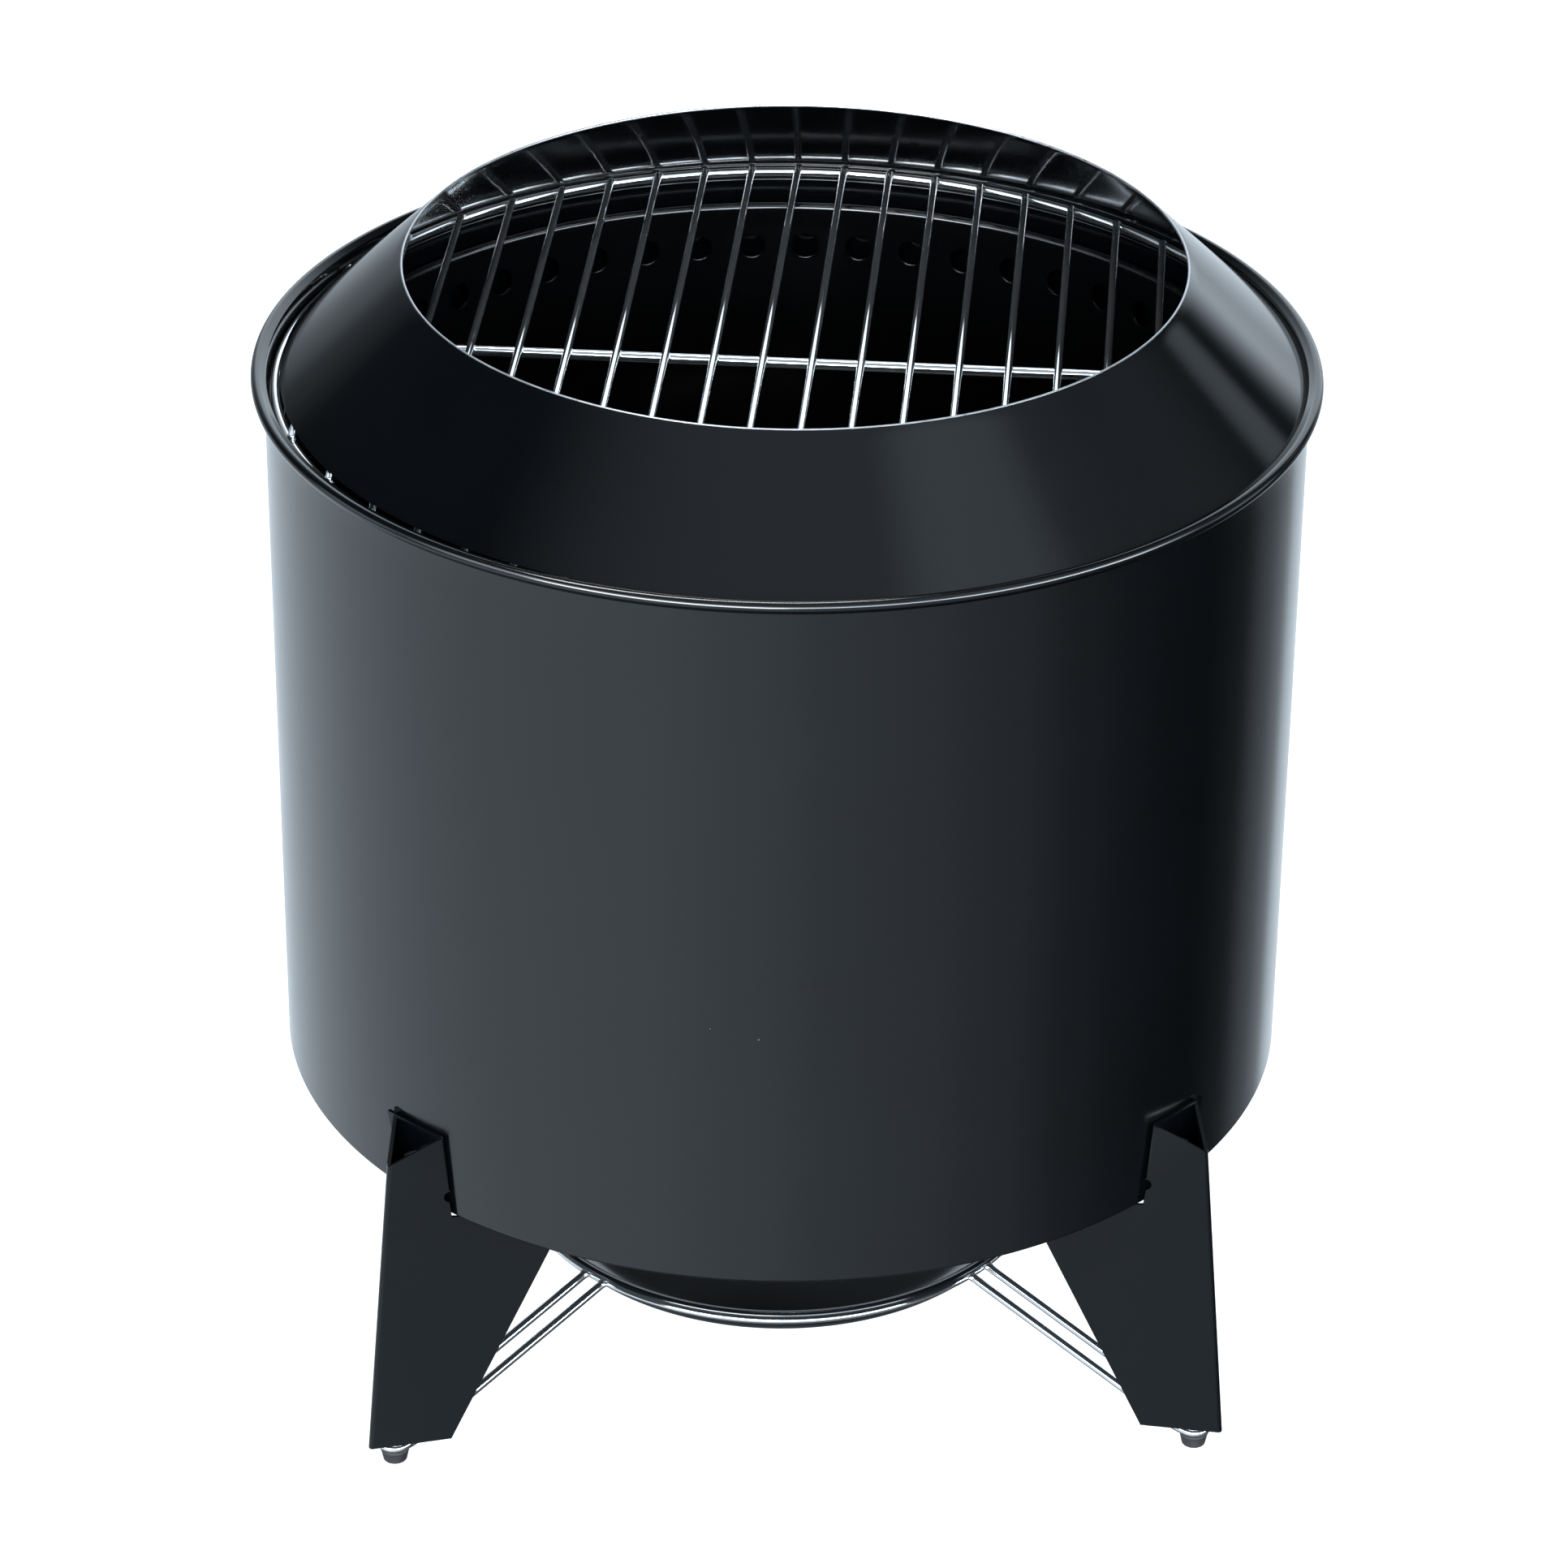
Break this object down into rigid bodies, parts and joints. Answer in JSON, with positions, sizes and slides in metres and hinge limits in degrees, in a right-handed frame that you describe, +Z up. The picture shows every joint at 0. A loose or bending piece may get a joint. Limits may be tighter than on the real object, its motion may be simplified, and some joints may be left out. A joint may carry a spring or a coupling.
{
  "type": "garden fire pit with grate",
  "caption": "Round enamelled garden fire pit on folded legs, with inner fire bowl, chromed cooking grate, loose cone flame collar and ash pan.",
  "frame": {"origin": "on the floor under the middle of the drum", "axes": "+Z up along the drum's axis, -Y towards the front, +X to the right seen from the front"},
  "size_m": [0.5698, 0.5698, 0.621],
  "materials": {
    "enamel": "glossy black vitreous enamel",
    "bowl_enamel": "glossy black vitreous enamel",
    "leg_paint": "satin black powder coat",
    "chrome_wire": "bright chrome plate",
    "grate_steel": "dull steel wire",
    "stand_steel": "galvanised sheet",
    "zinc": "bright zinc plate",
    "rubber": "matt black rubber"
  },
  "bodies": {
    "pit": {"drum_shell": "enamel", "drum_base": "enamel", "fire_bowl": "bowl_enamel", "leg_front_left": "leg_paint", "leg_front_right": "leg_paint", "leg_rear_right": "leg_paint", "leg_rear_left": "leg_paint", "brace_front_left": "chrome_wire", "brace_front_right": "chrome_wire", "brace_rear_right": "chrome_wire", "brace_rear_left": "chrome_wire", "pan_ring": "chrome_wire", "bowl_stand_1": "stand_steel", "bowl_stand_2": "stand_steel", "bowl_stand_3": "stand_steel", "bowl_stand_4": "stand_steel", "leg_bolt_front_left": "zinc", "leg_bolt_front_right": "zinc", "leg_bolt_rear_right": "zinc", "leg_bolt_rear_left": "zinc", "leg_nut_front_left": "zinc", "leg_nut_front_right": "zinc", "leg_nut_rear_right": "zinc", "leg_nut_rear_left": "zinc", "foot_stud_front_left": "zinc", "foot_stud_front_right": "zinc", "foot_stud_rear_right": "zinc", "foot_stud_rear_left": "zinc", "foot_front_left": "rubber", "foot_front_right": "rubber", "foot_rear_right": "rubber", "foot_rear_left": "rubber"},
    "fuel_grate_body": {"fuel_grate": "grate_steel"},
    "cooking_grate_body": {"cooking_grate": "chrome_wire"},
    "flame_collar_body": {"flame_collar": "enamel"},
    "ash_pan_body": {"ash_pan": "enamel"}
  },
  "joints": [
    {"name": "fuel_grate_lift", "type": "slide", "parent": "pit", "child": "fuel_grate_body", "axis": [0, 0, 1], "range_m": [0, 0.42]},
    {"name": "cooking_grate_lift", "type": "slide", "parent": "fuel_grate_body", "child": "cooking_grate_body", "axis": [0, 0, 1], "range_m": [0, 0.1]},
    {"name": "flame_collar_lift", "type": "slide", "parent": "cooking_grate_body", "child": "flame_collar_body", "axis": [0, 0, 1], "range_m": [0, 0.12]},
    {"name": "ash_pan_lift", "type": "slide", "parent": "pit", "child": "ash_pan_body", "axis": [0, 0, 1], "range_m": [0, 0.06]}
  ]
}
